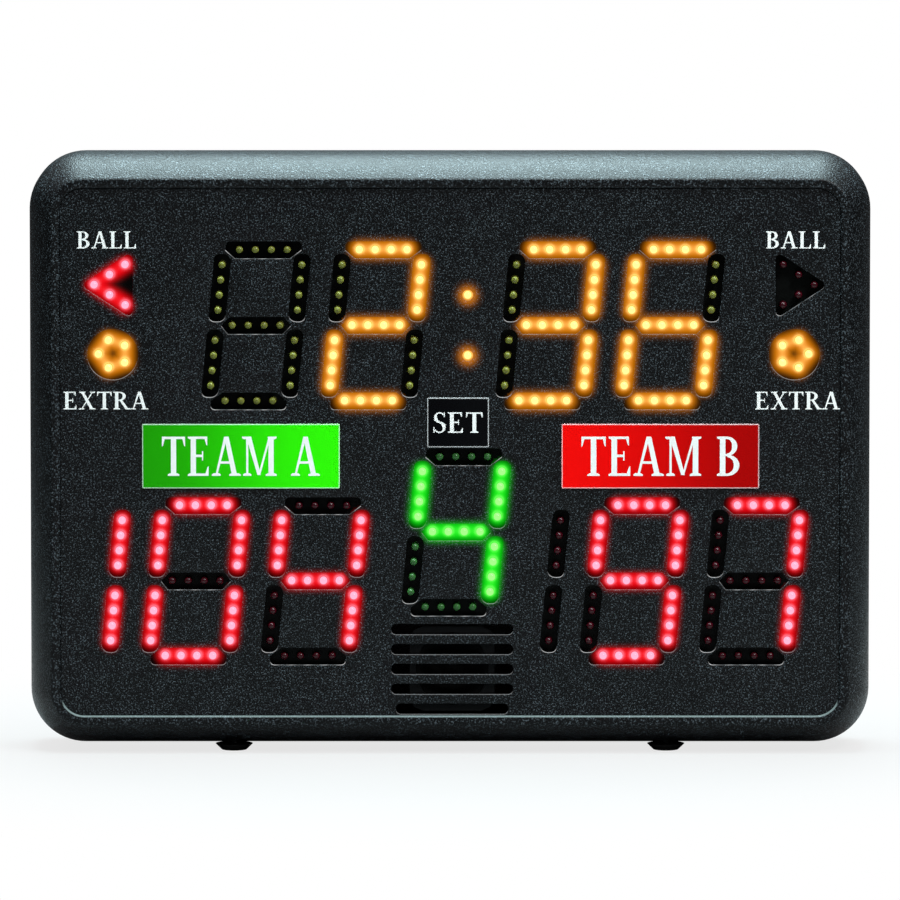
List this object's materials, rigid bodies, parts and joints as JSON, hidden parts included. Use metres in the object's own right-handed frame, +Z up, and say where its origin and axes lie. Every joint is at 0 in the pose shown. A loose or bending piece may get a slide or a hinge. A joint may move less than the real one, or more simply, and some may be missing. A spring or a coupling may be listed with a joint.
{
  "type": "electronic scoreboard",
  "caption": "Tabletop LED scoreboard: a rounded moulded case with slanted segment windows, horn grille, name plates, rubber feet, rear grip, battery door and control pocket.",
  "frame": {"origin": "on the table under the middle of the case", "axes": "+X to the right seen from the front, +Y from the front to the back, +Z up"},
  "size_m": [0.566, 0.102, 0.4026],
  "materials": {
    "case_plastic": "black moulded ABS with a fine spark-eroded texture",
    "green_plate": "satin printed plate, dark green to bright green",
    "red_plate": "satin printed plate, bright red to dark red",
    "black_gloss_plastic": "smooth moulded black",
    "led_board": "black-masked circuit board with moulded LED lenses",
    "grey_ribbon": "grey ribbed vinyl",
    "green_resin": "green-masked glass-epoxy board",
    "chip_resin": "moulded epoxy",
    "bare_aluminium": "extruded, bare",
    "black_steel": "black painted pressing",
    "paper_cone": "black treated paper",
    "ferrite": "sintered ferrite",
    "plated_steel": "zinc plated",
    "nickel": "nickel plated",
    "foot_rubber": "moulded black rubber"
  },
  "bodies": {
    "case": {"front_housing": "case_plastic", "rear_housing": "case_plastic", "hand_grip_cup": "case_plastic", "control_tray": "case_plastic", "battery_box": "case_plastic", "home_name_plate": "green_plate", "guest_name_plate": "red_plate", "period_name_plate": "black_gloss_plastic", "clock_led_board": "led_board", "home_score_led_board": "led_board", "guest_score_led_board": "led_board", "period_led_board": "led_board", "home_indicator_led_board": "led_board", "guest_indicator_led_board": "led_board", "home_indicator_ribbon": "grey_ribbon", "guest_indicator_ribbon": "grey_ribbon", "home_score_ribbon": "grey_ribbon", "guest_score_ribbon": "grey_ribbon", "period_ribbon": "grey_ribbon", "control_ribbon": "grey_ribbon", "control_board": "green_resin", "processor_chip": "chip_resin", "regulator_heat_sink": "bare_aluminium", "speaker_basket": "black_steel", "speaker_cone": "paper_cone", "speaker_magnet": "ferrite", "power_switch_body": "black_gloss_plastic", "dc_power_socket": "black_gloss_plastic", "control_cable_socket": "black_gloss_plastic", "volume_control": "plated_steel", "volume_control_nut": "nickel", "lower_contact_strip": "nickel", "upper_contact_strip": "nickel", "front_left_foot": "foot_rubber", "front_right_foot": "foot_rubber", "rear_left_foot": "foot_rubber", "rear_right_foot": "foot_rubber", "front_left_foot_screw": "plated_steel", "front_right_foot_screw": "plated_steel", "rear_left_foot_screw": "plated_steel", "rear_right_foot_screw": "plated_steel", "case_screw_1": "plated_steel", "case_screw_2": "plated_steel", "case_screw_3": "plated_steel", "case_screw_4": "plated_steel", "case_screw_5": "plated_steel", "case_screw_6": "plated_steel", "case_screw_7": "plated_steel", "case_screw_8": "plated_steel"},
    "battery_lid": {"battery_door": "case_plastic"},
    "rocker": {"power_rocker": "black_gloss_plastic"},
    "volume": {"volume_shaft": "nickel", "volume_knob": "black_gloss_plastic"}
  },
  "joints": [
    {"name": "battery_door_hinge", "type": "hinge", "parent": "case", "child": "battery_lid", "pos_m": [0, 0.0485, 0.05231], "axis": [-1, 0, 0], "range_deg": [0, 90]},
    {"name": "power_rocker_pivot", "type": "hinge", "parent": "case", "child": "rocker", "pos_m": [0.2161, 0.0364, 0.07577], "axis": [-1, 0, 0], "range_deg": [0, 18]},
    {"name": "volume_turn", "type": "hinge", "parent": "case", "child": "volume", "pos_m": [0.1281, 0.045, 0.07577], "axis": [0, 1, 0], "range_deg": [-150, 150]}
  ]
}
